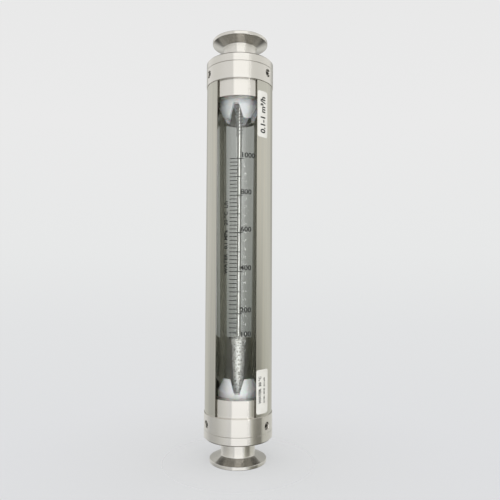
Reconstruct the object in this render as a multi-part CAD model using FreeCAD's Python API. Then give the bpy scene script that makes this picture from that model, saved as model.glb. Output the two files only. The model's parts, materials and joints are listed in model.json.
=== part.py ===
"""Glass-tube rotameter with sanitary clamp ends, in a slotted stainless housing.

Frame: millimetres, +Z up along the flow, origin at the centre of the lower
sealing face.  The reading window faces -Y.  Angles called "azimuth" are taken
from the middle of that window, positive towards +X.
"""
import FreeCAD
import Part
import math
import os

Vector = FreeCAD.Vector

# ---- Driving dimensions, mm and degrees ------------------------------------
FACE_TO_FACE = 380.0            # lower sealing face to upper sealing face

# Sanitary clamp ferrule, DN 25 pattern
FERRULE_DIA = 50.5
FERRULE_RIM = 2.85              # thickness of the flat outer rim
FERRULE_BACK_ANGLE = 20.0       # slope of the back that the clamp pulls on
PIPE_BORE_DIA = 22.6
SEAL_GROOVE_DIA = 43.5          # centre line of the round groove in the face
SEAL_GROOVE_RADIUS = 1.5
NECK_DIA = 30.5
NECK_ROUND = 0.8                # radius where the neck meets ferrule and cap

# Head: cap disc, end ring and the nose that carries the housing
STUB_LENGTH = 21.4              # sealing face to the cap disc
CAP_THICKNESS = 7.4
RING_HEIGHT = 15.35
NOSE_HEIGHT = 14.85
HEAD_STEP = 0.5                 # radial, rings and caps proud of the housing
EDGE_CHAMFER = 1.0
EDGE_BREAK = 0.15
JOINT_GAP = 0.35                # relief in the ring that shows as a dark joint line
JOINT_DEPTH = 0.8
THREAD_CLEARANCE = 0.10
LOCK_GROOVE_DEPTH = 1.0         # groove in the spigot that the set screws enter
LOCK_GROOVE_WIDTH = 6.0
CHAMBER_WALL = 6.4              # ledge left round the chamber for seal and stop

# Slotted housing
SHELL_DIA = 60.0
SHELL_WALL = 1.5
NOSE_CLEARANCE = 0.15           # radial, nose in housing
FRONT_WINDOW_WIDTH = 35.0
REAR_WINDOW_WIDTH = 46.0
REAR_WINDOW_ROUND = 3.0
REAR_WINDOW_BELOW = 62.0        # housing left standing under the rear window
REAR_WINDOW_ABOVE = 28.0        # and above it

# Metering tube
GLASS_DIA = 40.0
GLASS_LIP = 1.6                 # wall left at the open ends
GLASS_SOCKET_DEPTH = 6.5        # straight part of each open end
FLARE_ANGLE = 21.0              # cone from the open end down to the bore
BORE_DIA_LOW = 24.2             # taper, produced to the two ends of the tube
BORE_DIA_HIGH = 29.6
GLASS_SEAT_CLEARANCE = 0.4      # radial, tube in spigot
GLASS_SEAT_DEPTH = 2.0          # how far the tube stands in its seat
SPIGOT_WALL = 1.6
GASKET_THICKNESS = 2.0
GASKET_MARGIN = 0.2             # gasket kept back from seat wall and bore

# Float stops, turned and milled
STOP_CLEARANCE = 0.2            # radial, stop in glass
TIP_WALL = 2.3                  # thickness of a tooth at its tip
CROWN_RISE = 19.5               # seat ledge to the tips of the teeth
TOOTH_COUNT = 5
LOWER_CROWN_TURN = 1.0          # azimuth of the notch nearest the window
UPPER_CROWN_TURN = -5.5
NOTCH_FLAT = 4.6                # width of the notch at its root
NOTCH_MOUTH = 11.4              # and at the tips of the teeth
NOTCH_ROOT = 6.7                # height of the notch root over the ledge
HUB_DIA = 9.0
HUB_HEIGHT = 6.0
SPOKE_WIDTH = 3.0
SPOKE_HEIGHT = 5.0

# Guide rod and its fastenings
ROD_DIA = 4.0
ROD_FIT = 0.05                  # radial running clearance on the rod
ROD_END_PROUD = 1.2             # rod past its nut
NUT_ACROSS_FLATS = 7.0
NUT_HEIGHT = 3.2
WASHER_DIA = 8.6
WASHER_THICKNESS = 0.8

# Buffer spring under the upper stop
SPRING_DIA = 6.8
SPRING_WIRE = 0.7
SPRING_LENGTH = 26.7
SPRING_TURNS = 8.5

# Float, lengths from its lower end
FLOAT_FOOT_DIA = 6.4
FLOAT_BODY_DIA = 11.0
FLOAT_HEAD_DIA = 13.0
FLOAT_CONE_LENGTH = 25.0
FLOAT_BODY_LENGTH = 16.4
FLOAT_SHOULDER = 0.8
FLOAT_HEAD_LENGTH = 6.9
FLOAT_GROOVE_COUNT = 2
FLOAT_GROOVE_WIDTH = 1.0
FLOAT_GROOVE_DEPTH = 0.55
FLOAT_EDGE = 0.3

# Set screws in each end ring
SCREW_DIA = 6.0
SCREW_SOCKET = 3.0              # across flats
SCREW_SOCKET_DEPTH = 3.0
SCREW_INSET = 0.9               # screw end below the ring's surface
SCREW_MOUTH_DIA = 7.2           # chamfered mouth of each tapped hole
SCREW_TIP_CHAMFER = 0.8
SCREW_RISE = 6.2                # screw centre from the cap side of the ring
SCREW_AZIMUTHS = (-60.0, 60.0, 180.0)

# ---- Levels and radii that follow from them --------------------------------
CAP_LEVEL = STUB_LENGTH
RING_LEVEL = CAP_LEVEL + CAP_THICKNESS
SHELL_LEVEL = RING_LEVEL + RING_HEIGHT
NOSE_LEVEL = SHELL_LEVEL + NOSE_HEIGHT
GLASS_LEVEL = NOSE_LEVEL - GLASS_SEAT_DEPTH
LEDGE_LEVEL = GLASS_LEVEL - GASKET_THICKNESS
SCREW_LEVEL = RING_LEVEL + SCREW_RISE

HEAD_RADIUS = SHELL_DIA / 2 + HEAD_STEP
GLASS_RADIUS = GLASS_DIA / 2
SEAT_RADIUS = GLASS_RADIUS + GLASS_SEAT_CLEARANCE
SPIGOT_RADIUS = SEAT_RADIUS + SPIGOT_WALL
CHAMBER_RADIUS = SEAT_RADIUS - CHAMBER_WALL
LOCK_RADIUS = SPIGOT_RADIUS - LOCK_GROOVE_DEPTH
SHELL_INNER_RADIUS = SHELL_DIA / 2 - SHELL_WALL
NOSE_RADIUS = SHELL_INNER_RADIUS - NOSE_CLEARANCE
SOCKET_RADIUS = GLASS_RADIUS - GLASS_LIP
STOP_RADIUS = SOCKET_RADIUS - STOP_CLEARANCE
FLARE_SLOPE = math.tan(math.radians(FLARE_ANGLE))
CONE_LEVEL = GLASS_LEVEL + GLASS_SOCKET_DEPTH
TIP_LEVEL = LEDGE_LEVEL + CROWN_RISE
TIP_RADIUS = STOP_RADIUS - FLARE_SLOPE * (TIP_LEVEL - CONE_LEVEL)
WAY_RADIUS = TIP_RADIUS - TIP_WALL
ROD_HOLE_RADIUS = ROD_DIA / 2 + ROD_FIT

LOWER_HUB_TOP = LEDGE_LEVEL + HUB_HEIGHT
UPPER_HUB_FACE = FACE_TO_FACE - LOWER_HUB_TOP
SPRING_TOP = UPPER_HUB_FACE - WASHER_THICKNESS
SPRING_END = SPRING_TOP - SPRING_LENGTH
FLOAT_LENGTH = FLOAT_CONE_LENGTH + FLOAT_BODY_LENGTH + FLOAT_SHOULDER + FLOAT_HEAD_LENGTH
FLOAT_TRAVEL = SPRING_END - LOWER_HUB_TOP - FLOAT_LENGTH


# ---- Helpers ---------------------------------------------------------------
def outline(corners):
    """Closed outline in the XZ plane; a corner (r, z, round) gets an arc."""
    points = [Vector(corner[0], 0, corner[1]) for corner in corners]
    stretches = []
    for index, corner in enumerate(corners):
        here = points[index]
        if len(corner) == 2:
            stretches.append((here, here, None))
            continue
        back = (points[index - 1] - here).normalize()
        ahead = (points[(index + 1) % len(points)] - here).normalize()
        half_angle = back.getAngle(ahead) / 2
        setback = corner[2] / math.tan(half_angle)
        inward = corner[2] / math.sin(half_angle) - corner[2]
        crown = here + (back + ahead).normalize() * inward
        stretches.append((here + back * setback, here + ahead * setback, crown))
    edges = []
    for index, (start, finish, crown) in enumerate(stretches):
        if crown is not None:
            edges.append(Part.Arc(start, crown, finish).toShape())
        following = stretches[(index + 1) % len(stretches)][0]
        edges.append(Part.makeLine(finish, following))
    return Part.Wire(edges)


def turned(corners):
    """Solid turned about Z from an outline of (radius, height) corners."""
    face = Part.Face(outline(corners))
    return face.revolve(Vector(0, 0, 0), Vector(0, 0, 1), 360)


def tube(outer_radius, inner_radius, low, high):
    """Plain ring or sleeve between two levels."""
    corners = [(inner_radius, low), (outer_radius, low), (outer_radius, high), (inner_radius, high)]
    return turned(corners)


def disc(radius, low, high):
    """Plain cylinder between two levels."""
    return Part.makeCylinder(radius, high - low, Vector(0, 0, low))


def hexagon_prism(across_flats, low, high):
    """Upright hexagonal prism centred on Z."""
    corner_radius = across_flats / math.sqrt(3)
    corners = []
    for step in range(7):
        angle = math.radians(60 * step)
        corners.append(Vector(corner_radius * math.cos(angle), corner_radius * math.sin(angle), low))
    return Part.Face(Part.makePolygon(corners)).extrude(Vector(0, 0, high - low))


def upended(shape):
    """The same piece at the other end of the instrument."""
    return shape.mirror(Vector(0, 0, FACE_TO_FACE / 2), Vector(0, 0, 1))


def aimed_out(shape, azimuth, level):
    """Lay a piece built along +Z so that it points out of the ring at an azimuth."""
    laid = shape.copy()
    laid.rotate(Vector(0, 0, 0), Vector(1, 0, 0), 90)
    laid.rotate(Vector(0, 0, 0), Vector(0, 0, 1), azimuth)
    laid.translate(Vector(0, 0, level))
    return laid


# ---- End fittings ----------------------------------------------------------
def clamp_connection():
    """Ferrule, neck, cap disc and threaded spigot, turned from one bar."""
    bore = PIPE_BORE_DIA / 2
    rim = FERRULE_DIA / 2
    neck = NECK_DIA / 2
    back_rise = (rim - neck) * math.tan(math.radians(FERRULE_BACK_ANGLE))
    groove_low = SCREW_LEVEL - LOCK_GROOVE_WIDTH / 2
    groove_high = SCREW_LEVEL + LOCK_GROOVE_WIDTH / 2
    chamber_rise = CHAMBER_RADIUS - bore
    body = turned([
        (bore, 0),
        (rim, 0, 0.4),
        (rim, FERRULE_RIM, 0.4),
        (neck, FERRULE_RIM + back_rise, NECK_ROUND),
        (neck, CAP_LEVEL, NECK_ROUND),
        (HEAD_RADIUS - EDGE_CHAMFER, CAP_LEVEL),
        (HEAD_RADIUS, CAP_LEVEL + EDGE_CHAMFER),
        (HEAD_RADIUS, RING_LEVEL - EDGE_BREAK),
        (HEAD_RADIUS - EDGE_BREAK, RING_LEVEL),
        (SPIGOT_RADIUS, RING_LEVEL),
        (SPIGOT_RADIUS, groove_low),
        (LOCK_RADIUS, groove_low),
        (LOCK_RADIUS, groove_high),
        (SPIGOT_RADIUS, groove_high),
        (SPIGOT_RADIUS, NOSE_LEVEL),
        (SEAT_RADIUS, NOSE_LEVEL),
        (SEAT_RADIUS, LEDGE_LEVEL),
        (CHAMBER_RADIUS, LEDGE_LEVEL),
        (CHAMBER_RADIUS, SHELL_LEVEL + chamber_rise),
        (bore, SHELL_LEVEL),
    ])
    seal_groove = Part.makeTorus(SEAL_GROOVE_DIA / 2, SEAL_GROOVE_RADIUS)
    return body.cut(seal_groove)


def screw_mouth():
    """Tapped hole for one set screw with its chamfered mouth, along +Z."""
    hole = SCREW_DIA / 2 + THREAD_CLEARANCE
    mouth = SCREW_MOUTH_DIA / 2
    surface = HEAD_RADIUS
    return turned([
        (0, LOCK_RADIUS),
        (hole, LOCK_RADIUS),
        (hole, surface - (mouth - hole)),
        (mouth, surface),
        (mouth, surface + 1),
        (0, surface + 1),
    ])


def end_ring():
    """Ring with the nose that the housing is fitted over and welded to."""
    thread = SPIGOT_RADIUS + THREAD_CLEARANCE
    body = turned([
        (thread, RING_LEVEL),
        (HEAD_RADIUS - JOINT_DEPTH, RING_LEVEL),
        (HEAD_RADIUS - JOINT_DEPTH, RING_LEVEL + JOINT_GAP),
        (HEAD_RADIUS, RING_LEVEL + JOINT_GAP),
        (HEAD_RADIUS, SHELL_LEVEL - JOINT_GAP),
        (HEAD_RADIUS - JOINT_DEPTH, SHELL_LEVEL - JOINT_GAP),
        (HEAD_RADIUS - JOINT_DEPTH, SHELL_LEVEL),
        (NOSE_RADIUS, SHELL_LEVEL),
        (NOSE_RADIUS, NOSE_LEVEL - EDGE_BREAK),
        (NOSE_RADIUS - EDGE_BREAK, NOSE_LEVEL),
        (thread, NOSE_LEVEL),
    ])
    for azimuth in SCREW_AZIMUTHS:
        body = body.cut(aimed_out(screw_mouth(), azimuth, SCREW_LEVEL))
    return body


def set_screw(azimuth):
    """Socket set screw whose flat point stands in the spigot's groove."""
    radius = SCREW_DIA / 2
    outer = HEAD_RADIUS - SCREW_INSET
    body = turned([
        (0, LOCK_RADIUS),
        (radius - SCREW_TIP_CHAMFER, LOCK_RADIUS),
        (radius, LOCK_RADIUS + SCREW_TIP_CHAMFER),
        (radius, outer - SCREW_TIP_CHAMFER / 2),
        (radius - SCREW_TIP_CHAMFER / 2, outer),
        (0, outer),
    ])
    socket = hexagon_prism(SCREW_SOCKET, outer - SCREW_SOCKET_DEPTH, outer + 1)
    return aimed_out(body.cut(socket), azimuth, SCREW_LEVEL)


# ---- Housing ---------------------------------------------------------------
def window_cutter(width, low, high, front):
    """Block that opens one window, through the wall on the -Y or +Y side."""
    reach = SHELL_DIA / 2 + 1
    start = -reach if front else 0
    return Part.makeBox(width, reach, high - low, Vector(-width / 2, start, low))


def housing_shell():
    """Tube slotted along its whole front, with a shorter window behind."""
    top = FACE_TO_FACE - SHELL_LEVEL
    outer = SHELL_DIA / 2
    shell = turned([
        (SHELL_INNER_RADIUS, SHELL_LEVEL),
        (outer - EDGE_BREAK, SHELL_LEVEL),
        (outer, SHELL_LEVEL + EDGE_BREAK),
        (outer, top - EDGE_BREAK),
        (outer - EDGE_BREAK, top),
        (SHELL_INNER_RADIUS, top),
    ])
    front = window_cutter(FRONT_WINDOW_WIDTH, SHELL_LEVEL - 1, top + 1, True)
    rear_low = SHELL_LEVEL + REAR_WINDOW_BELOW
    rear_high = top - REAR_WINDOW_ABOVE
    rear = window_cutter(REAR_WINDOW_WIDTH, rear_low, rear_high, False)
    corners = [line for line in rear.Edges if abs(line.tangentAt(line.FirstParameter).y) > 0.99]
    rear = rear.makeFillet(REAR_WINDOW_ROUND, corners)
    return shell.cut(front).cut(rear)


# ---- Metering tube and its seals -------------------------------------------
def glass_tube():
    """Tapered metering tube, opened out at both ends to take the stops."""
    low = GLASS_LEVEL
    high = FACE_TO_FACE - GLASS_LEVEL
    bore_low = BORE_DIA_LOW / 2
    bore_high = BORE_DIA_HIGH / 2
    taper = (bore_high - bore_low) / (high - low)
    flare_run_low = (SOCKET_RADIUS - bore_low - taper * GLASS_SOCKET_DEPTH) / (FLARE_SLOPE + taper)
    flare_run_high = (SOCKET_RADIUS - bore_high + taper * GLASS_SOCKET_DEPTH) / (FLARE_SLOPE - taper)
    socket_low = low + GLASS_SOCKET_DEPTH
    socket_high = high - GLASS_SOCKET_DEPTH
    return turned([
        (SOCKET_RADIUS, low),
        (GLASS_RADIUS, low, GLASS_LIP / 4),
        (GLASS_RADIUS, high, GLASS_LIP / 4),
        (SOCKET_RADIUS, high),
        (SOCKET_RADIUS, socket_high),
        (SOCKET_RADIUS - FLARE_SLOPE * flare_run_high, socket_high - flare_run_high),
        (SOCKET_RADIUS - FLARE_SLOPE * flare_run_low, socket_low + flare_run_low),
        (SOCKET_RADIUS, socket_low),
    ])


def glass_gasket():
    """Flat ring between the spigot's ledge and the end of the glass."""
    outer = SEAT_RADIUS - GASKET_MARGIN
    inner = STOP_RADIUS + GASKET_MARGIN
    return tube(outer, inner, LEDGE_LEVEL, GLASS_LEVEL)


# ---- Float stops -----------------------------------------------------------
def crown_blank():
    """Turned blank of a stop: straight in the glass socket, then coned."""
    return turned([
        (WAY_RADIUS, LEDGE_LEVEL),
        (STOP_RADIUS, LEDGE_LEVEL, 0.4),
        (STOP_RADIUS, CONE_LEVEL),
        (TIP_RADIUS, TIP_LEVEL, TIP_WALL / 5),
        (WAY_RADIUS, TIP_LEVEL, TIP_WALL / 5),
    ])


def notch_cutter(azimuth):
    """Wedge that opens one notch between two teeth."""
    root = LEDGE_LEVEL + NOTCH_ROOT
    slope = (NOTCH_MOUTH - NOTCH_FLAT) / 2 / (TIP_LEVEL - root)
    overrun = 1.0
    half_mouth = NOTCH_MOUTH / 2 + slope * overrun
    corners = [
        Vector(-NOTCH_FLAT / 2, 0, root),
        Vector(NOTCH_FLAT / 2, 0, root),
        Vector(half_mouth, 0, TIP_LEVEL + overrun),
        Vector(-half_mouth, 0, TIP_LEVEL + overrun),
        Vector(-NOTCH_FLAT / 2, 0, root),
    ]
    wedge = Part.Face(Part.makePolygon(corners)).extrude(Vector(0, -GLASS_RADIUS, 0))
    wedge.rotate(Vector(0, 0, 0), Vector(0, 0, 1), azimuth)
    return wedge


def spider(crown_turn):
    """Hub on four spokes that holds the rod in the middle of the flow way."""
    reach = WAY_RADIUS + TIP_WALL / 4
    hub = disc(HUB_DIA / 2, LEDGE_LEVEL, LOWER_HUB_TOP)
    for quarter in (0, 90):
        bar = Part.makeBox(2 * reach, SPOKE_WIDTH, SPOKE_HEIGHT)
        bar.translate(Vector(-reach, -SPOKE_WIDTH / 2, LEDGE_LEVEL))
        bar.rotate(Vector(0, 0, 0), Vector(0, 0, 1), quarter + 45 + crown_turn)
        hub = hub.fuse(bar)
    return hub


def float_stop(crown_turn):
    """Crown-shaped stop that centres the guide rod and catches the float."""
    stop = crown_blank()
    for tooth in range(TOOTH_COUNT):
        stop = stop.cut(notch_cutter(crown_turn + tooth * 360 / TOOTH_COUNT))
    stop = stop.fuse(spider(crown_turn)).removeSplitter()
    return stop.cut(disc(ROD_HOLE_RADIUS, LEDGE_LEVEL - 1, LOWER_HUB_TOP + 1))


# ---- Guide rod, fastenings, spring -----------------------------------------
def guide_rod():
    """Straight rod through both stops, chamfered at its ends."""
    low = LEDGE_LEVEL - WASHER_THICKNESS - NUT_HEIGHT - ROD_END_PROUD
    high = FACE_TO_FACE - low
    radius = ROD_DIA / 2
    point = radius / 4
    return turned([
        (0, low),
        (radius - point, low),
        (radius, low + point),
        (radius, high - point),
        (radius - point, high),
        (0, high),
    ])


def rod_washer(top):
    """Flat washer on the rod, its upper face at the level given."""
    return tube(WASHER_DIA / 2, ROD_HOLE_RADIUS, top - WASHER_THICKNESS, top)


def rod_nut():
    """Hexagon nut with its corners turned off at both faces."""
    top = LEDGE_LEVEL - WASHER_THICKNESS
    low = top - NUT_HEIGHT
    corner = NUT_ACROSS_FLATS / math.sqrt(3)
    flat = NUT_ACROSS_FLATS / 2
    fall = (corner - flat) * math.tan(math.radians(30))
    thread = ROD_DIA / 2
    envelope = turned([
        (thread, low),
        (flat, low),
        (corner, low + fall),
        (corner, top - fall),
        (flat, top),
        (thread, top),
    ])
    return hexagon_prism(NUT_ACROSS_FLATS, low, top).common(envelope)


def buffer_spring():
    """Round-wire spring with ground ends that cushions the float's arrival."""
    coil_radius = (SPRING_DIA - SPRING_WIRE) / 2
    pitch = SPRING_LENGTH / SPRING_TURNS
    helix = Part.makeHelix(pitch, SPRING_LENGTH, coil_radius)
    helix.translate(Vector(0, 0, SPRING_END))
    start = Vector(coil_radius, 0, SPRING_END)
    section = Part.Wire(Part.makeCircle(SPRING_WIRE / 2, start, Vector(0, 1, 0)))
    wire = Part.Wire(helix).makePipeShell([section], True, True)
    slab = disc(SPRING_DIA, SPRING_END, SPRING_TOP)
    return wire.common(slab)


# ---- Float -----------------------------------------------------------------
def metering_float():
    """Turned float that runs on the rod; its upper edge is the reading edge."""
    foot = LOWER_HUB_TOP
    body = foot + FLOAT_CONE_LENGTH
    shoulder = body + FLOAT_BODY_LENGTH
    head = shoulder + FLOAT_SHOULDER
    top = head + FLOAT_HEAD_LENGTH
    blank = turned([
        (ROD_HOLE_RADIUS, foot),
        (FLOAT_FOOT_DIA / 2, foot, FLOAT_EDGE),
        (FLOAT_BODY_DIA / 2, body),
        (FLOAT_BODY_DIA / 2, shoulder),
        (FLOAT_HEAD_DIA / 2, head),
        (FLOAT_HEAD_DIA / 2, top - FLOAT_EDGE),
        (FLOAT_HEAD_DIA / 2 - FLOAT_EDGE, top),
        (ROD_HOLE_RADIUS, top),
    ])
    step = FLOAT_HEAD_LENGTH / (FLOAT_GROOVE_COUNT + 0.5)
    for index in range(FLOAT_GROOVE_COUNT):
        middle = head + step * (index + 0.5)
        blank = blank.cut(head_groove(middle))
    return blank


def head_groove(middle):
    """V-shaped ring cutter for one groove round the float's head."""
    rim = FLOAT_HEAD_DIA / 2
    half = FLOAT_GROOVE_WIDTH / 2
    overrun = 0.5
    spread = half * (1 + overrun / FLOAT_GROOVE_DEPTH)
    return turned([
        (rim - FLOAT_GROOVE_DEPTH, middle),
        (rim + overrun, middle - spread),
        (rim + overrun, middle + spread),
    ])


# ---- The instrument --------------------------------------------------------
def all_pieces():
    """Every separate piece of the instrument by its name."""
    lower_stop = float_stop(LOWER_CROWN_TURN)
    upper_stop = upended(float_stop(UPPER_CROWN_TURN))
    washer = rod_washer(LEDGE_LEVEL)
    pieces = {
        "lower_connection": clamp_connection(),
        "upper_connection": upended(clamp_connection()),
        "lower_end_ring": end_ring(),
        "upper_end_ring": upended(end_ring()),
        "housing_shell": housing_shell(),
        "glass_tube": glass_tube(),
        "lower_gasket": glass_gasket(),
        "upper_gasket": upended(glass_gasket()),
        "lower_float_stop": lower_stop,
        "upper_float_stop": upper_stop,
        "guide_rod": guide_rod(),
        "lower_rod_washer": washer,
        "upper_rod_washer": upended(washer),
        "lower_rod_nut": rod_nut(),
        "upper_rod_nut": upended(rod_nut()),
        "spring_washer": rod_washer(UPPER_HUB_FACE),
        "buffer_spring": buffer_spring(),
        "metering_float": metering_float(),
    }
    for number, azimuth in enumerate(SCREW_AZIMUTHS, 1):
        pieces["lower_set_screw_%d" % number] = set_screw(azimuth)
        pieces["upper_set_screw_%d" % number] = upended(set_screw(azimuth))
    return pieces


def main():
    """Write one STEP file for each piece."""
    os.makedirs("parts", exist_ok=True)
    for name, shape in all_pieces().items():
        if not shape.isValid() or len(shape.Solids) != 1:
            raise RuntimeError("%s is not one valid solid" % name)
        shape.Solids[0].exportStep(os.path.join("parts", name + ".step"))
    print("float travel %.2f mm" % FLOAT_TRAVEL)


main()
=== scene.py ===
"""Finish, printed scale, labels, light and camera for the glass-tube flow meter.

Metres, +Z up the tube, reading window towards -Y.  Azimuths are degrees from
the middle of that window, positive towards +X.
"""
import json
import math

import bmesh
import bpy
from mathutils import Matrix, Vector


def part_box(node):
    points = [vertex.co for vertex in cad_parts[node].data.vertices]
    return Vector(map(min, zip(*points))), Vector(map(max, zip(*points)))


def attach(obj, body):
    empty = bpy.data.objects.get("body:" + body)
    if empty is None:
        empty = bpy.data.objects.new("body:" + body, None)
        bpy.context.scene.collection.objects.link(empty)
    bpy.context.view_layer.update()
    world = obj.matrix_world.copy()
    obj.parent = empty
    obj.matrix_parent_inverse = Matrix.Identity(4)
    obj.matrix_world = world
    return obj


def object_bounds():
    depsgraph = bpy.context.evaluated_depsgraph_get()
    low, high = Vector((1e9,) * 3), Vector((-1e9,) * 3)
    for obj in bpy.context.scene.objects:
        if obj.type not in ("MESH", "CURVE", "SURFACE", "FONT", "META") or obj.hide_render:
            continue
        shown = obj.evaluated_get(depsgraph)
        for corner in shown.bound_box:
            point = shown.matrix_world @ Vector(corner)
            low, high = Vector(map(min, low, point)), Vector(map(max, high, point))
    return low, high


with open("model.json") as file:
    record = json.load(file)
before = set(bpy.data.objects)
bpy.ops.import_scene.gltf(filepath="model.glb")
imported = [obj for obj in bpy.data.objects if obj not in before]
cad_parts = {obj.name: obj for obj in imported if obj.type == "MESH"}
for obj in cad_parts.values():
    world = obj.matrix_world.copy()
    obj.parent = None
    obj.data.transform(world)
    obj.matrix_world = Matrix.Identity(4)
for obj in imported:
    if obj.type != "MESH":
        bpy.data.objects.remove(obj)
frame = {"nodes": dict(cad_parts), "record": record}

CAD_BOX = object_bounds()
NODES = frame["nodes"]
BODY = "instrument"
MM = 0.001


# ---- Places taken from the frame ------------------------------------------
def half_width(node):
    """Outer radius of a turned piece."""
    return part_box(node)[1].x


TUBE_RADIUS = half_width("glass_tube")
SHELL_RADIUS = half_width("housing_shell")
SHELL_WALL = 1.5 * MM
SHELL_BORE = SHELL_RADIUS - SHELL_WALL
SHELL_LOW, SHELL_HIGH = (corner.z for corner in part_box("housing_shell"))
READING_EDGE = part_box("metering_float")[1].z
HEIGHT = CAD_BOX[1].z

# ---- Sizes of the print and labels ------------------------------------------
PRINT_THICKNESS = 0.03 * MM
PRINT_LIFT = 0.03 * MM
TICK_START = -19.5              # azimuth where every tick starts
TICK_END = -0.4                 # where the short ones end
TICK_END_HUNDRED = 8.0
TICK_END_NUMBERED = 14.5
TICK_THICKNESS = 0.66 * MM
FLOW_FIRST = 100
FLOW_LAST = 1000
FLOW_STEP = 20
SCALE_FOOT = 0.7 * MM           # first mark above the edge of the resting float
SCALE_SLOPE = 16.2 * MM         # rise for each 100 of flow, far up the tube
SCALE_BEND = 11.0 * MM          # extra spread of the low end, where the annulus is narrow
SCALE_FADE = 185.0              # flow over which that extra dies away
NUMBER_HEIGHT = 4.4 * MM
LETTER_BOLD = 0.12 * MM         # added all round each letter's strokes
STRIP_WIDTH = 0.7 * MM          # widest flat part of a letter, once it is wrapped
NUMBER_START = 8.3              # azimuth of a number's left edge
NUMBER_LIFT = 1.2 * MM          # a number's foot above its tick
LEGEND_HEIGHT = 3.7 * MM
LEGEND_AZIMUTH = -25.5
LEGEND_LEVEL = 166 * MM

LAMP_ROW_AZIMUTH = 39.0
LAMP_ROW_COUNT = 22
LAMP_ROW_DISTANCE = 0.6
LAMP_ROW_START = 0.012          # height of the lowest lamp
LAMP_ROW_STEP = 0.017
LAMP_WIDTH, LAMP_HEIGHT = 0.050, 0.006
LAMP_WATTS = 0.0062

CAMERA_LENS, CAMERA_SENSOR = 36.32, 36.0
CAMERA_AZIMUTH = 5.3
CAMERA_DISTANCE = 0.459
CAMERA_HEIGHT = 0.1672
CAMERA_HEADING = -1.25          # degrees turned off the tube's axis
CAMERA_TIP = 2.58               # degrees tipped up
CAMERA_ROLL = 0.26

LABEL_THICKNESS = 0.12 * MM
LABEL_ROUND = 2.0 * MM


# ---- Small helpers ----------------------------------------------------------
def colour(hex_code):
    """Linear RGBA from an sRGB hex value."""
    channels = [int(hex_code[i:i + 2], 16) / 255 for i in (0, 2, 4)]
    linear = [c / 12.92 if c <= 0.04045 else ((c + 0.055) / 1.055) ** 2.4 for c in channels]
    return (*linear, 1.0)


def add(tree, kind, links=None, **settings):
    """Add a node with its settings, socket values and incoming links."""
    made = tree.nodes.new(kind)
    for key, value in settings.items():
        setattr(made, key, value)
    for key, value in (links or {}).items():
        socket = made.inputs[key]
        if isinstance(value, bpy.types.NodeSocket):
            tree.links.new(value, socket)
        else:
            socket.default_value = value
    return made


def new_material(name):
    """Empty node material and its output node."""
    material = bpy.data.materials.new(name)
    material.use_nodes = True
    tree = material.node_tree
    tree.nodes.clear()
    return material, tree, add(tree, "ShaderNodeOutputMaterial")


def maths(tree, operation, first, second=0.0):
    """Output of one Math node."""
    return add(tree, "ShaderNodeMath", {0: first, 1: second}, operation=operation).outputs[0]


def ramp(tree, factor, stops):
    """Colour output of a ramp with stops of (place, hex)."""
    made = add(tree, "ShaderNodeValToRGB", {"Fac": factor})
    band = made.color_ramp
    while len(band.elements) < len(stops):
        band.elements.new(0.5)
    for element, (place, code) in zip(band.elements, stops):
        element.position = place
        element.color = colour(code)
    return made.outputs["Color"]


def spread(tree, factor, low, high):
    """Map a 0..1 value to low..high."""
    return add(tree, "ShaderNodeMapRange", {"Value": factor, "To Min": low, "To Max": high}).outputs[0]


def climb(tree, value, start, end, top=1.0, eased=False):
    """0 where the value is at its start, top where it is at its end."""
    span = {"Value": value, "From Min": start, "From Max": end, "To Max": top}
    kind = "SMOOTHSTEP" if eased else "LINEAR"
    return add(tree, "ShaderNodeMapRange", span, interpolation_type=kind).outputs[0]


def blend(tree, factor, first, second):
    """Colour output between two colours."""
    return add(tree, "ShaderNodeMix", {"Factor": factor, "A": first, "B": second},
               data_type="RGBA").outputs["Result"]


# ---- Materials ----------------------------------------------------------------
def round_axis(tree):
    """Distance from the tube's axis, azimuth in radians and height of a point."""
    place = add(tree, "ShaderNodeTexCoord").outputs["Object"]
    parts = add(tree, "ShaderNodeSeparateXYZ", {0: place}).outputs
    radius = maths(tree, "SQRT", maths(tree, "ADD", maths(tree, "MULTIPLY", parts[0], parts[0]),
                                       maths(tree, "MULTIPLY", parts[1], parts[1])))
    azimuth = maths(tree, "ARCTAN2", parts[0], maths(tree, "MULTIPLY", parts[1], -1.0))
    return radius, azimuth, parts[2]


def lathe_lines(tree, radius, height, per_metre, detail):
    """Noise that runs in rings round the axis, on faces as on cylinders."""
    across = maths(tree, "ADD", height, maths(tree, "MULTIPLY", radius, 1.37))
    return add(tree, "ShaderNodeTexNoise", {"W": across, "Scale": per_metre, "Detail": detail},
               noise_dimensions="1D").outputs["Fac"]


def turned_stainless(name, tone, roughness, groove):
    """Turned 316L stainless: fine tool rings stretch the light along the axis."""
    material, tree, output = new_material(name)
    radius, azimuth, height = round_axis(tree)
    fine = lathe_lines(tree, radius, height, 2600.0, 2.0)        # 0.4 mm feed marks
    broad = lathe_lines(tree, radius, height, 260.0, 3.0)        # slow drift of the finish
    tint = blend(tree, spread(tree, broad, 0.0, 1.0), colour(tone[0]), colour(tone[1]))
    rough = maths(tree, "ADD", spread(tree, fine, -0.012, 0.012),
                  spread(tree, broad, roughness, roughness + 0.03))
    bump = add(tree, "ShaderNodeBump", {"Height": fine, "Strength": 0.1, "Distance": groove})
    tangent = add(tree, "ShaderNodeTangent", direction_type="RADIAL", axis="Z")
    shader = add(tree, "ShaderNodeBsdfPrincipled", {
        "Base Color": tint, "Metallic": 1.0, "Roughness": rough, "Anisotropic": 1.0,
        "Anisotropic Rotation": 0.25, "Normal": bump.outputs[0], "Tangent": tangent.outputs[0]})
    tree.links.new(shader.outputs[0], output.inputs["Surface"])
    return material


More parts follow.
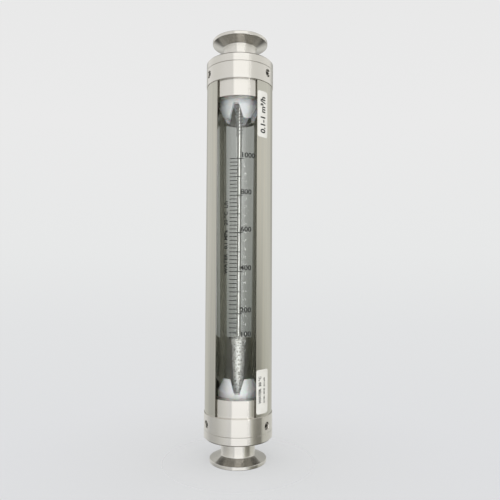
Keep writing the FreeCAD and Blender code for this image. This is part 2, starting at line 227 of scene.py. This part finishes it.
def satin_housing(name):
    """Ground and brushed tube: soft upright streaks outside, dull drawn wall inside. The inner wall's colour
    is darkened with painted shade, and the window's cut faces are darker still with painted shade.
    """
    material, tree, output = new_material(name)
    radius, azimuth, height = round_axis(tree)
    turns = maths(tree, "MULTIPLY", azimuth, 14.0)
    along = maths(tree, "MULTIPLY", height, 6.0)
    place = add(tree, "ShaderNodeCombineXYZ", {0: turns, 1: along}).outputs[0]
    streak = add(tree, "ShaderNodeTexNoise", {"Vector": place, "Scale": 1.0, "Detail": 3.0}).outputs["Fac"]
    hair_place = add(tree, "ShaderNodeCombineXYZ", {0: maths(tree, "MULTIPLY", azimuth, 180.0),
                                                    1: maths(tree, "MULTIPLY", height, 30.0)}).outputs[0]
    hair = add(tree, "ShaderNodeTexNoise", {"Vector": hair_place, "Scale": 1.0, "Detail": 2.0}).outputs["Fac"]
    outside = ramp(tree, streak, [(0.30, "c7c6bd"), (0.52, "cdccc3"), (0.70, "d3d0c5")])
    wall = climb(tree, radius, SHELL_RADIUS - 0.25 * MM, SHELL_RADIUS - 0.10 * MM)
    # Painted shade: the inner wall gets a darker colour than the outside, for the shade inside the housing.
    # The cut faces get a darker one still, for the shade in the gap beside the tube.
    edge = climb(tree, radius, SHELL_BORE + 0.15 * MM, SHELL_BORE + 0.35 * MM)
    inside_with_painted_shade = blend(tree, edge, colour("a09e92"), colour("74726a"))       # inner wall, then cut faces, both darkened as painted shade
    tint = blend(tree, wall, inside_with_painted_shade, outside)
    satin = spread(tree, hair, 0.30, 0.42)
    rough = add(tree, "ShaderNodeMix", {"Factor": wall, "A": 0.65, "B": satin}, data_type="FLOAT")
    metal = spread(tree, wall, 0.2, 1.0)
    bump = add(tree, "ShaderNodeBump", {"Height": hair, "Strength": 0.25, "Distance": 0.01 * MM})
    tangent = add(tree, "ShaderNodeTangent", direction_type="RADIAL", axis="Z")
    shader = add(tree, "ShaderNodeBsdfPrincipled", {
        "Base Color": tint, "Metallic": metal, "Roughness": rough.outputs["Result"],
        "Anisotropic": 0.4, "Anisotropic Rotation": 0.25, "Normal": bump.outputs[0],
        "Tangent": tangent.outputs[0]})
    tree.links.new(shader.outputs[0], output.inputs["Surface"])
    return material


def machined_ptfe(name):
    """Milky white PTFE, turned: waxy, lets a little light in, faint tool rings."""
    material, tree, output = new_material(name)
    radius, azimuth, height = round_axis(tree)
    rings = lathe_lines(tree, radius, height, 1800.0, 2.0)
    cloud = add(tree, "ShaderNodeTexNoise", {"Vector": add(tree, "ShaderNodeTexCoord").outputs["Object"],
                                             "Scale": 120.0, "Detail": 3.0}).outputs["Fac"]
    tint = ramp(tree, cloud, [(0.3, "e8eaee"), (0.7, "f2f3f6")])
    bump = add(tree, "ShaderNodeBump", {"Height": rings, "Strength": 0.2, "Distance": 0.02 * MM})
    shader = add(tree, "ShaderNodeBsdfPrincipled", {
        "Base Color": tint, "Roughness": spread(tree, rings, 0.38, 0.5), "IOR": 1.36,
        "Subsurface Weight": 0.25, "Subsurface Scale": 1.5 * MM, "Normal": bump.outputs[0]})
    tree.links.new(shader.outputs[0], output.inputs["Surface"])
    return material


def tube_glass(name):
    """Thick borosilicate: clear, faintly grey-green through the wall, drawn smooth."""
    material, tree, output = new_material(name)
    radius, azimuth, height = round_axis(tree)
    draw_place = add(tree, "ShaderNodeCombineXYZ", {0: maths(tree, "MULTIPLY", azimuth, 6.0),
                                                    1: maths(tree, "MULTIPLY", height, 9.0)}).outputs[0]
    draw = add(tree, "ShaderNodeTexNoise", {"Vector": draw_place, "Scale": 1.0, "Detail": 1.0}).outputs["Fac"]
    bump = add(tree, "ShaderNodeBump", {"Height": draw, "Strength": 0.06, "Distance": 0.02 * MM})
    glass = add(tree, "ShaderNodeBsdfPrincipled", {
        "Base Color": colour("fbfcfb"), "Roughness": 0.0, "IOR": 1.47, "Transmission Weight": 1.0,
        "Normal": bump.outputs[0]})
    clear = add(tree, "ShaderNodeBsdfTransparent", {"Color": colour("fafbfa")})
    ray = add(tree, "ShaderNodeLightPath").outputs["Is Shadow Ray"]
    shader = add(tree, "ShaderNodeMixShader", {0: ray, 1: glass.outputs[0], 2: clear.outputs[0]})
    tree.links.new(shader.outputs[0], output.inputs["Surface"])
    wall = add(tree, "ShaderNodeVolumeAbsorption", {"Color": (0.62, 0.64, 0.60, 1.0), "Density": 30.0})
    tree.links.new(wall.outputs[0], output.inputs["Volume"])
    return material


def mottled_float(name):
    """Float of turned stainless: tool rings broken up by water marks that glint."""
    material, tree, output = new_material(name)
    radius, azimuth, height = round_axis(tree)
    fine = lathe_lines(tree, radius, height, 2200.0, 2.0)
    place = add(tree, "ShaderNodeTexCoord").outputs["Object"]
    blot = add(tree, "ShaderNodeTexNoise", {"Vector": place, "Scale": 540.0, "Detail": 4.0,
                                            "Roughness": 0.7}).outputs["Fac"]
    tint = ramp(tree, blot, [(0.38, "7e7c75"), (0.48, "f0efea"), (0.60, "ffffff")])
    height_mix = maths(tree, "ADD", maths(tree, "MULTIPLY", fine, 0.4), blot)
    bump = add(tree, "ShaderNodeBump", {"Height": height_mix, "Strength": 1.0, "Distance": 0.42 * MM})
    shader = add(tree, "ShaderNodeBsdfPrincipled", {
        "Base Color": tint, "Metallic": 0.6, "Roughness": spread(tree, blot, 0.28, 0.50),
        "Normal": bump.outputs[0]})
    tree.links.new(shader.outputs[0], output.inputs["Surface"])
    return material


def polished_steel(name, tone, roughness):
    """Ground bright steel, for the rod, the spring wire and the fastenings."""
    material, tree, output = new_material(name)
    radius, azimuth, height = round_axis(tree)
    lines = lathe_lines(tree, radius, height, 5000.0, 2.0)
    tint = ramp(tree, lines, [(0.3, tone[0]), (0.7, tone[1])])
    bump = add(tree, "ShaderNodeBump", {"Height": lines, "Strength": 0.15, "Distance": 0.005 * MM})
    shader = add(tree, "ShaderNodeBsdfPrincipled", {
        "Base Color": tint, "Metallic": 1.0, "Roughness": spread(tree, lines, roughness, roughness + 0.08),
        "Normal": bump.outputs[0]})
    tree.links.new(shader.outputs[0], output.inputs["Surface"])
    return material


def moulded_silicone(name):
    """Moulded silicone rubber: matt, slightly cloudy white."""
    material, tree, output = new_material(name)
    place = add(tree, "ShaderNodeTexCoord").outputs["Object"]
    grain = add(tree, "ShaderNodeTexNoise", {"Vector": place, "Scale": 900.0, "Detail": 2.0}).outputs["Fac"]
    bump = add(tree, "ShaderNodeBump", {"Height": grain, "Strength": 0.2, "Distance": 0.02 * MM})
    shader = add(tree, "ShaderNodeBsdfPrincipled", {
        "Base Color": ramp(tree, grain, [(0.3, "d6d6d1"), (0.7, "e0e0dc")]),
        "Roughness": spread(tree, grain, 0.55, 0.7), "Normal": bump.outputs[0]})
    tree.links.new(shader.outputs[0], output.inputs["Surface"])
    return material


def fired_ink(name):
    """Fired black scale ink: nearly opaque, a little worn to grey."""
    material, tree, output = new_material(name)
    place = add(tree, "ShaderNodeTexCoord").outputs["Object"]
    wear = add(tree, "ShaderNodeTexNoise", {"Vector": place, "Scale": 700.0, "Detail": 3.0}).outputs["Fac"]
    shader = add(tree, "ShaderNodeBsdfPrincipled", {
        "Base Color": ramp(tree, wear, [(0.35, "101110"), (0.75, "262725")]),
        "Roughness": spread(tree, wear, 0.45, 0.65)})
    tree.links.new(shader.outputs[0], output.inputs["Surface"])
    return material


def label_film(name):
    """White vinyl film: smooth, faintly soiled, a soft sheen."""
    material, tree, output = new_material(name)
    place = add(tree, "ShaderNodeTexCoord").outputs["Object"]
    soil = add(tree, "ShaderNodeTexNoise", {"Vector": place, "Scale": 140.0, "Detail": 4.0}).outputs["Fac"]
    bump = add(tree, "ShaderNodeBump", {"Height": soil, "Strength": 0.1, "Distance": 0.03 * MM})
    shader = add(tree, "ShaderNodeBsdfPrincipled", {
        "Base Color": ramp(tree, soil, [(0.3, "dbdad5"), (0.7, "e4e4e0")]),
        "Roughness": spread(tree, soil, 0.32, 0.45), "Normal": bump.outputs[0]})
    tree.links.new(shader.outputs[0], output.inputs["Surface"])
    return material


def finish_cad_nodes():
    """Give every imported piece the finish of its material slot."""
    finishes = {
        "turned_stainless": turned_stainless("turned_stainless_316", ("e0ddd7", "e6e4df"), 0.20, 0.004 * MM),
        "housing_stainless": satin_housing("satin_ground_stainless"),
        "tube_glass": tube_glass("borosilicate_glass"),
        "gasket_silicone": moulded_silicone("moulded_silicone"),
        "stop_ptfe": machined_ptfe("machined_ptfe"),
        "fastener_steel": polished_steel("plain_fastener_steel", ("8f8d88", "a3a19c"), 0.28),
        "rod_steel": polished_steel("ground_rod_steel", ("d8d8d4", "e4e4e0"), 0.10),
        "spring_steel": polished_steel("drawn_spring_wire", ("cfcecb", "dddcda"), 0.18),
        "float_steel": mottled_float("wetted_float_steel"),
    }
    for entry in frame["record"]["subparts"]:
        piece = NODES[entry["node"]]
        for slot in piece.material_slots:
            slot.material = finishes[entry["material_slot"]]


# ---- Printed scale ------------------------------------------------------------
def scale_level(flow):
    """Height of a flow mark over the upper edge of the resting float."""
    past = flow - FLOW_FIRST
    spent = 1 - math.exp(-past / SCALE_FADE)
    return READING_EDGE + SCALE_FOOT + SCALE_SLOPE * past / 100 + SCALE_BEND * spent


def wrap_on(mesh, radius, azimuth, level):
    """Bend a flat mesh, laid out in X and Y with Z outwards, on to a cylinder."""
    for vertex in mesh.vertices:
        flat = vertex.co.copy()
        angle = math.radians(azimuth) + flat.x / radius
        reach = radius + flat.z
        vertex.co = (reach * math.sin(angle), -reach * math.cos(angle), level + flat.y)


def plain_mesh(holder, name):
    """Turn an evaluated curve, text or node-built object into a plain mesh object."""
    bpy.context.view_layer.update()
    graph = bpy.context.evaluated_depsgraph_get()
    mesh = bpy.data.meshes.new_from_object(holder.evaluated_get(graph))
    mesh.name = name
    bpy.data.objects.remove(holder)
    made = bpy.data.objects.new(name, mesh)
    bpy.context.scene.collection.objects.link(made)
    return made


def slice_across(mesh):
    """Cut long faces into narrow upright strips, so that they can follow a curve."""
    edit = bmesh.new()
    edit.from_mesh(mesh)
    place = min(vertex.co.x for vertex in edit.verts) + STRIP_WIDTH
    end = max(vertex.co.x for vertex in edit.verts)
    while place < end:
        everything = edit.verts[:] + edit.edges[:] + edit.faces[:]
        bmesh.ops.bisect_plane(edit, geom=everything, plane_co=(place, 0, 0), plane_no=(1, 0, 0))
        place += STRIP_WIDTH
    edit.to_mesh(mesh)
    edit.free()


def lettering(name, words, height, material, turned=False, widen=1.0, bold=LETTER_BOLD):
    """Flat closed letters as a mesh, their foot on X, or running up Y if turned."""
    text = bpy.data.curves.new(name, "FONT")
    text.body = words
    text.size = height / 0.72                # capital height of the built-in face
    text.extrude = PRINT_THICKNESS / 2
    text.offset = bold
    text.resolution_u = 3
    holder = bpy.data.objects.new(name, text)
    bpy.context.scene.collection.objects.link(holder)
    made = plain_mesh(holder, name)
    made.data.transform(Matrix.Scale(widen, 4, (1, 0, 0)))
    if turned:
        made.data.transform(Matrix.Rotation(math.radians(90), 4, "Z"))
    made.data.transform(Matrix.Translation((0, 0, PRINT_LIFT + PRINT_THICKNESS / 2)))
    slice_across(made.data)
    made.data.materials.clear()
    made.data.materials.append(material)
    return made


def tick_tree(material):
    """Geometry Nodes: one bar for each step of flow, set on the glass.

    Inputs: Tube Radius, First Level, Slope, Bend, Fade, Step, Thickness, Start, End,
    End Hundred, End Numbered and Count.
    """
    tree = bpy.data.node_groups.new("flow_ticks", "GeometryNodeTree")
    face = tree.interface
    sizes = [("Tube Radius", TUBE_RADIUS), ("First Level", READING_EDGE + SCALE_FOOT), ("Slope", SCALE_SLOPE),
             ("Bend", SCALE_BEND), ("Fade", SCALE_FADE), ("Step", float(FLOW_STEP)),
             ("Thickness", TICK_THICKNESS), ("Start", math.radians(TICK_START)),
             ("End", math.radians(TICK_END)), ("End Hundred", math.radians(TICK_END_HUNDRED)),
             ("End Numbered", math.radians(TICK_END_NUMBERED))]
    for name, value in sizes:
        face.new_socket(name, in_out="INPUT", socket_type="NodeSocketFloat").default_value = value
    count = face.new_socket("Count", in_out="INPUT", socket_type="NodeSocketInt")
    count.default_value = (FLOW_LAST - FLOW_FIRST) // FLOW_STEP + 1
    face.new_socket("Geometry", in_out="OUTPUT", socket_type="NodeSocketGeometry")
    given = add(tree, "NodeGroupInput").outputs

    # A unit bar, its length 0..1 along X, is set at each point and its index is kept on it.
    bar = add(tree, "GeometryNodeMeshCube", {"Size": (1.0, 1.0, PRINT_THICKNESS), "Vertices X": 10})
    line = add(tree, "GeometryNodeMeshLine", {"Count": given["Count"], "Offset": (0.0, 0.0, 1.0)})
    points = add(tree, "GeometryNodeMeshToPoints", {"Mesh": line.outputs[0]})
    number = add(tree, "GeometryNodeInputIndex").outputs[0]
    marked = add(tree, "GeometryNodeStoreNamedAttribute",
                 {"Geometry": points.outputs[0], "Name": "step_index", "Value": number},
                 data_type="FLOAT", domain="POINT")
    set_bars = add(tree, "GeometryNodeInstanceOnPoints",
                   {"Points": marked.outputs[0], "Instance": bar.outputs[0]})
    solid = add(tree, "GeometryNodeRealizeInstances", {0: set_bars.outputs[0]})

    index = add(tree, "GeometryNodeInputNamedAttribute", {"Name": "step_index"}, data_type="FLOAT").outputs[0]
    past = maths(tree, "MULTIPLY", index, given["Step"])
    spent = maths(tree, "SUBTRACT", 1.0, maths(tree, "EXPONENT", maths(
        tree, "DIVIDE", maths(tree, "MULTIPLY", past, -1.0), given["Fade"])))
    rise = maths(tree, "ADD", maths(tree, "MULTIPLY", maths(tree, "DIVIDE", past, 100.0), given["Slope"]),
                 maths(tree, "MULTIPLY", spent, given["Bend"]))
    level = maths(tree, "ADD", given["First Level"], rise)

    flow = maths(tree, "ADD", past, float(FLOW_FIRST))

    def falls_on(multiple):
        """1 where the flow is a whole multiple."""
        rest = maths(tree, "MODULO", maths(tree, "ADD", flow, 0.5), float(multiple))
        return maths(tree, "LESS_THAN", rest, 1.0)

    hundred, numbered = falls_on(100), falls_on(200)
    end = add(tree, "GeometryNodeSwitch", {"Switch": hundred, "False": given["End"],
                                           "True": given["End Hundred"]}, input_type="FLOAT").outputs[0]
    end = add(tree, "GeometryNodeSwitch", {"Switch": numbered, "False": end,
                                           "True": given["End Numbered"]}, input_type="FLOAT").outputs[0]

    # Bar X runs from Start to End in azimuth, bar Y is its thickness, bar Z its reach.
    parts = add(tree, "ShaderNodeSeparateXYZ", {0: add(tree, "GeometryNodeInputPosition").outputs[0]}).outputs
    share = maths(tree, "ADD", parts[0], 0.5)
    angle = maths(tree, "ADD", given["Start"], maths(tree, "MULTIPLY", share, maths(
        tree, "SUBTRACT", end, given["Start"])))
    local_z = maths(tree, "SUBTRACT", parts[2], index)
    print_middle = maths(tree, "ADD", given["Tube Radius"], PRINT_LIFT + PRINT_THICKNESS / 2)
    reach = maths(tree, "ADD", print_middle, local_z)
    place = add(tree, "ShaderNodeCombineXYZ", {
        0: maths(tree, "MULTIPLY", reach, maths(tree, "SINE", angle)),
        1: maths(tree, "MULTIPLY", maths(tree, "MULTIPLY", reach, maths(tree, "COSINE", angle)), -1.0),
        2: maths(tree, "ADD", level, maths(tree, "MULTIPLY", parts[1], given["Thickness"]))}).outputs[0]
    wrapped = add(tree, "GeometryNodeSetPosition", {"Geometry": solid.outputs[0], "Position": place})
    inked = add(tree, "GeometryNodeSetMaterial", {"Geometry": wrapped.outputs[0], "Material": material})
    add(tree, "NodeGroupOutput", {0: inked.outputs[0]})
    return tree


def flow_ticks(ink):
    """The marks of the scale as one plain mesh."""
    holder = bpy.data.objects.new("scale_ticks_maker", bpy.data.meshes.new("scale_ticks_maker"))
    bpy.context.scene.collection.objects.link(holder)
    holder.modifiers.new("ticks", "NODES").node_group = tick_tree(ink)
    return plain_mesh(holder, "scale_ticks")


def printed_scale(ink):
    """Ticks, numbers and the unit up the left side."""
    pieces = [flow_ticks(ink)]
    for flow in [FLOW_FIRST] + list(range(200, FLOW_LAST + 1, 200)):
        number = lettering("scale_number_%d" % flow, str(flow), NUMBER_HEIGHT, ink, widen=1.12)
        wrap_on(number.data, TUBE_RADIUS, NUMBER_START, scale_level(flow) + NUMBER_LIFT)
        pieces.append(number)
    unit = lettering("scale_unit", "WATER   0.1 MPa   20 °C  L/h", LEGEND_HEIGHT, ink, turned=True)
    wrap_on(unit.data, TUBE_RADIUS, LEGEND_AZIMUTH, LEGEND_LEVEL)
    pieces.append(unit)
    for piece in pieces:
        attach(piece, BODY)


# ---- Labels on the housing ---------------------------------------------------
def label_plate(name, azimuth, low, high, width, film):
    """Thin film with rounded corners, laid on the housing."""
    columns = 24
    corner_start = width / 2 - LABEL_ROUND
    outline = []
    for step in range(columns + 1):
        across = -width / 2 * math.cos(math.pi * step / columns)
        into_corner = max(abs(across) - corner_start, 0.0)
        drop = LABEL_ROUND - math.sqrt(max(LABEL_ROUND ** 2 - into_corner ** 2, 0.0))
        outline.append((across, drop))
    vertices, faces = [], []
    for lift in (0.0, LABEL_THICKNESS):
        for across, drop in outline:
            vertices.append((across, drop, lift))
            vertices.append((across, high - low - drop, lift))
    layer = len(outline) * 2
    for step in range(columns):
        a, b, c, d = 2 * step, 2 * step + 1, 2 * step + 3, 2 * step + 2
        faces.append((a, b, c, d))
        faces.append((a + layer, d + layer, c + layer, b + layer))
        faces.append((a, d, d + layer, a + layer))
        faces.append((b, b + layer, c + layer, c))
    last = layer - 2
    faces.append((0, layer, layer + 1, 1))
    faces.append((last, last + 1, last + 1 + layer, last + layer))
    mesh = bpy.data.meshes.new(name)
    mesh.from_pydata(vertices, [], faces)
    mesh.materials.append(film)
    wrap_on(mesh, SHELL_RADIUS + 0.01 * MM, azimuth, low)
    for polygon in mesh.polygons:
        polygon.use_smooth = False
    made = bpy.data.objects.new(name, mesh)
    bpy.context.scene.collection.objects.link(made)
    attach(made, BODY)


def label_words(name, words, height, azimuth, low, ink, bold=LETTER_BOLD):
    """Line of print that runs up a label."""
    line = lettering(name, words, height, ink, turned=True, bold=bold)
    wrap_on(line.data, SHELL_RADIUS + LABEL_THICKNESS + 0.01 * MM, azimuth, low)
    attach(line, BODY)


def labels():
    """The two white labels at the window's right edge, with plain words only."""
    film = label_film("white_vinyl_film")
    ink = fired_ink("label_print_ink")
    low = SHELL_HIGH - 50.0 * MM
    label_plate("upper_label", 48.0, low, SHELL_HIGH - 9.1 * MM, 12.0 * MM, film)
    label_words("upper_label_range", "0.1-1 m³/h", 5.6 * MM, 53.2, low + 3.6 * MM, ink, bold=0.24 * MM)
    low = SHELL_LOW + 2.6 * MM
    label_plate("lower_label", 49.5, low, SHELL_LOW + 40.1 * MM, 14.0 * MM, film)
    label_words("lower_label_liquid", "WATER  20 °C", 2.6 * MM, 45.5, low + 9.0 * MM, ink)
    label_words("lower_label_pressure", "0.1 MPa   DN 25   0.1-1 m³/h", 1.3 * MM, 54.0, low + 9.0 * MM, ink)


# ---- Floor, light and camera --------------------------------------------------------
def pale_floor():
    """Matt pale floor that fades into the background away from the object."""
    size = 4.0
    corners = [(-size, -size, 0), (size, -size, 0), (size, size, 0), (-size, size, 0)]
    mesh = bpy.data.meshes.new("floor")
    mesh.from_pydata(corners, [], [(0, 1, 2, 3)])
    floor = bpy.data.objects.new("floor", mesh)
    bpy.context.scene.collection.objects.link(floor)
    material, tree, output = new_material("pale_floor")
    radius, azimuth, height = round_axis(tree)
    fade = climb(tree, radius, -0.25, 0.25, eased=True)
    matt = add(tree, "ShaderNodeBsdfDiffuse", {"Color": colour("e2e3e4")})
    clear = add(tree, "ShaderNodeBsdfTransparent")
    mirrored = add(tree, "ShaderNodeLightPath").outputs["Is Glossy Ray"]
    shader = add(tree, "ShaderNodeMixShader", {0: maths(tree, "MAXIMUM", fade, mirrored), 1: matt.outputs[0],
                                               2: clear.outputs[0]})
    tree.links.new(shader.outputs[0], output.inputs["Surface"])
    mesh.materials.append(material)


def reflected_tent(tree, parts, share, glossy):
    """What the steel mirrors: a white tent, darker behind, with a dark patch low on the right.

    Steep reflections fall into a dark ceiling and floor, which shades the ferrules' cones.
    """
    above = ramp(tree, share, [
        (0.0, "a6a6a2"), (0.08, "bcbcb8"), (0.14, "f2f1ef"), (0.235, "e8e7e4"), (0.30, "eae9e6"),
        (0.36, "f1f0ee"), (0.41, "f5f4f2"), (0.63, "f2f1ed"), (0.86, "f0efeb"), (0.92, "bcbcb8"),
        (1.0, "a6a6a2")])
    below = ramp(tree, share, [
        (0.0, "d9d9d6"), (0.147, "dededb"), (0.222, "c4c4c3"), (0.305, "d2d2ce"), (0.35, "e8e8e5"),
        (0.39, "f8f7f4"), (0.42, "ffffff"), (0.622, "ffffff"), (0.642, "dadacf"), (0.662, "9b9a8d"),
        (0.700, "6f6d60"), (0.742, "727064"), (0.762, "cacac0"), (0.785, "d6d6cd"), (1.0, "d9d9d6")])
    low = climb(tree, parts[2], 0.10, -0.22, eased=True)
    overhead = climb(tree, parts[2], 0.50, 0.88, top=0.85, eased=True)
    underfoot = climb(tree, parts[2], -0.30, -0.60, eased=True)
    steep = maths(tree, "MULTIPLY", maths(tree, "MAXIMUM", overhead, underfoot), glossy)
    return blend(tree, steep, blend(tree, low, above, below), colour("383631"))


def seen_through_glass(tree, parts, share, rise):
    """Painted shade behind the tube: grey in place of ground lying in the object's shadow; white light from
    the front on the float and stops.
    """
    # Painted shade: these greys stand for shadowed ground and are darker than the pale background.
    behind = ramp(tree, rise, [(0.38, "868885"), (0.43, "8d8f8b"), (0.53, "a1a29e"),
                               (0.62, "a7a8a5"), (0.80, "a9aaa8")])
    ahead = ramp(tree, share, [(0.28, "5a5a58"), (0.35, "d8d8d5"), (0.42, "ffffff"),
                               (0.61, "ffffff"), (0.67, "d8d8d5"), (0.74, "5a5a58")])
    return blend(tree, climb(tree, parts[1], 0.1, -0.1), behind, ahead)


def studio_world():
    """Pale background for the camera, with its own light for steel and for glass."""
    world = bpy.data.worlds.new("studio")
    bpy.context.scene.world = world
    world.use_nodes = True
    tree = world.node_tree
    tree.nodes.clear()
    direction = add(tree, "ShaderNodeTexCoord").outputs["Generated"]
    parts = add(tree, "ShaderNodeSeparateXYZ", {0: direction}).outputs
    azimuth = maths(tree, "ARCTAN2", parts[0], maths(tree, "MULTIPLY", parts[1], -1.0))
    share = climb(tree, azimuth, -math.pi, math.pi)          # 0.5 is the front
    rise = maths(tree, "ADD", maths(tree, "MULTIPLY", parts[2], 0.8), 0.5)
    ray = add(tree, "ShaderNodeLightPath").outputs
    tent = reflected_tent(tree, parts, share, ray["Is Glossy Ray"])
    glass = seen_through_glass(tree, parts, share, rise)
    plain = ramp(tree, rise, [(0.25, "dedfe1"), (0.42, "e2e3e4"), (0.53, "e7e8e8"),
                              (0.72, "eaeaea"), (1.0, "e8e8e8")])
    lit = blend(tree, ray["Is Transmission Ray"], tent, glass)
    shown = blend(tree, ray["Is Camera Ray"], lit, plain)
    back = add(tree, "ShaderNodeBackground", {"Color": shown, "Strength": 1.0})
    output = add(tree, "ShaderNodeOutputWorld")
    tree.links.new(back.outputs[0], output.inputs["Surface"])


def soft_light(name, azimuth, elevation, distance, width, height, watts):
    """Area lamp aimed at the middle of the object."""
    lamp = bpy.data.lights.new(name, "AREA")
    lamp.shape = "RECTANGLE"
    lamp.size, lamp.size_y = width, height
    lamp.energy = watts
    holder = bpy.data.objects.new(name, lamp)
    bpy.context.scene.collection.objects.link(holder)
    a, e = math.radians(azimuth), math.radians(elevation)
    away = Vector((math.sin(a) * math.cos(e), -math.cos(a) * math.cos(e), math.sin(e)))
    holder.location = Vector((0, 0, HEIGHT / 2)) + away * distance
    holder.rotation_euler = (-away).to_track_quat("-Z", "Y").to_euler()
    holder.visible_camera = False
    return holder


def lamp_row():
    """Column of small lamps whose glints dot the glass right of the rod."""
    for step in range(LAMP_ROW_COUNT):
        lamp = soft_light("row_lamp_%d" % step, LAMP_ROW_AZIMUTH, 0.0, LAMP_ROW_DISTANCE,
                          LAMP_WIDTH, LAMP_HEIGHT, LAMP_WATTS)
        lamp.location.z = LAMP_ROW_START + LAMP_ROW_STEP * step


def camera():
    """Just right of the window's middle, a little below half height, tipped up."""
    data = bpy.data.cameras.new("camera")
    data.lens = CAMERA_LENS
    data.sensor_width = CAMERA_SENSOR
    holder = bpy.data.objects.new("camera", data)
    bpy.context.scene.collection.objects.link(holder)
    azimuth = math.radians(CAMERA_AZIMUTH)
    holder.location = (CAMERA_DISTANCE * math.sin(azimuth), -CAMERA_DISTANCE * math.cos(azimuth),
                       CAMERA_HEIGHT)
    heading = azimuth + math.radians(CAMERA_HEADING)
    tip = math.radians(90 + CAMERA_TIP)
    roll = math.radians(CAMERA_ROLL)
    turn = Matrix.Rotation(heading, 3, "Z") @ Matrix.Rotation(tip, 3, "X") @ Matrix.Rotation(roll, 3, "Z")
    holder.rotation_euler = turn.to_euler()
    bpy.context.scene.camera = holder


def main():
    """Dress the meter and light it."""
    finish_cad_nodes()
    printed_scale(fired_ink("fired_scale_ink"))
    labels()
    pale_floor()
    studio_world()
    soft_light("front_softbox", 9.5, 0.0, 1.1, 1.11, 5.0, 6.2)
    fill = soft_light("front_fill", 0.0, 10.0, 1.4, 3.2, 1.6, 7.0)
    fill.visible_glossy = False
    lamp_row()
    camera()
    scene = bpy.context.scene
    scene.view_settings.view_transform = "Standard"


main()
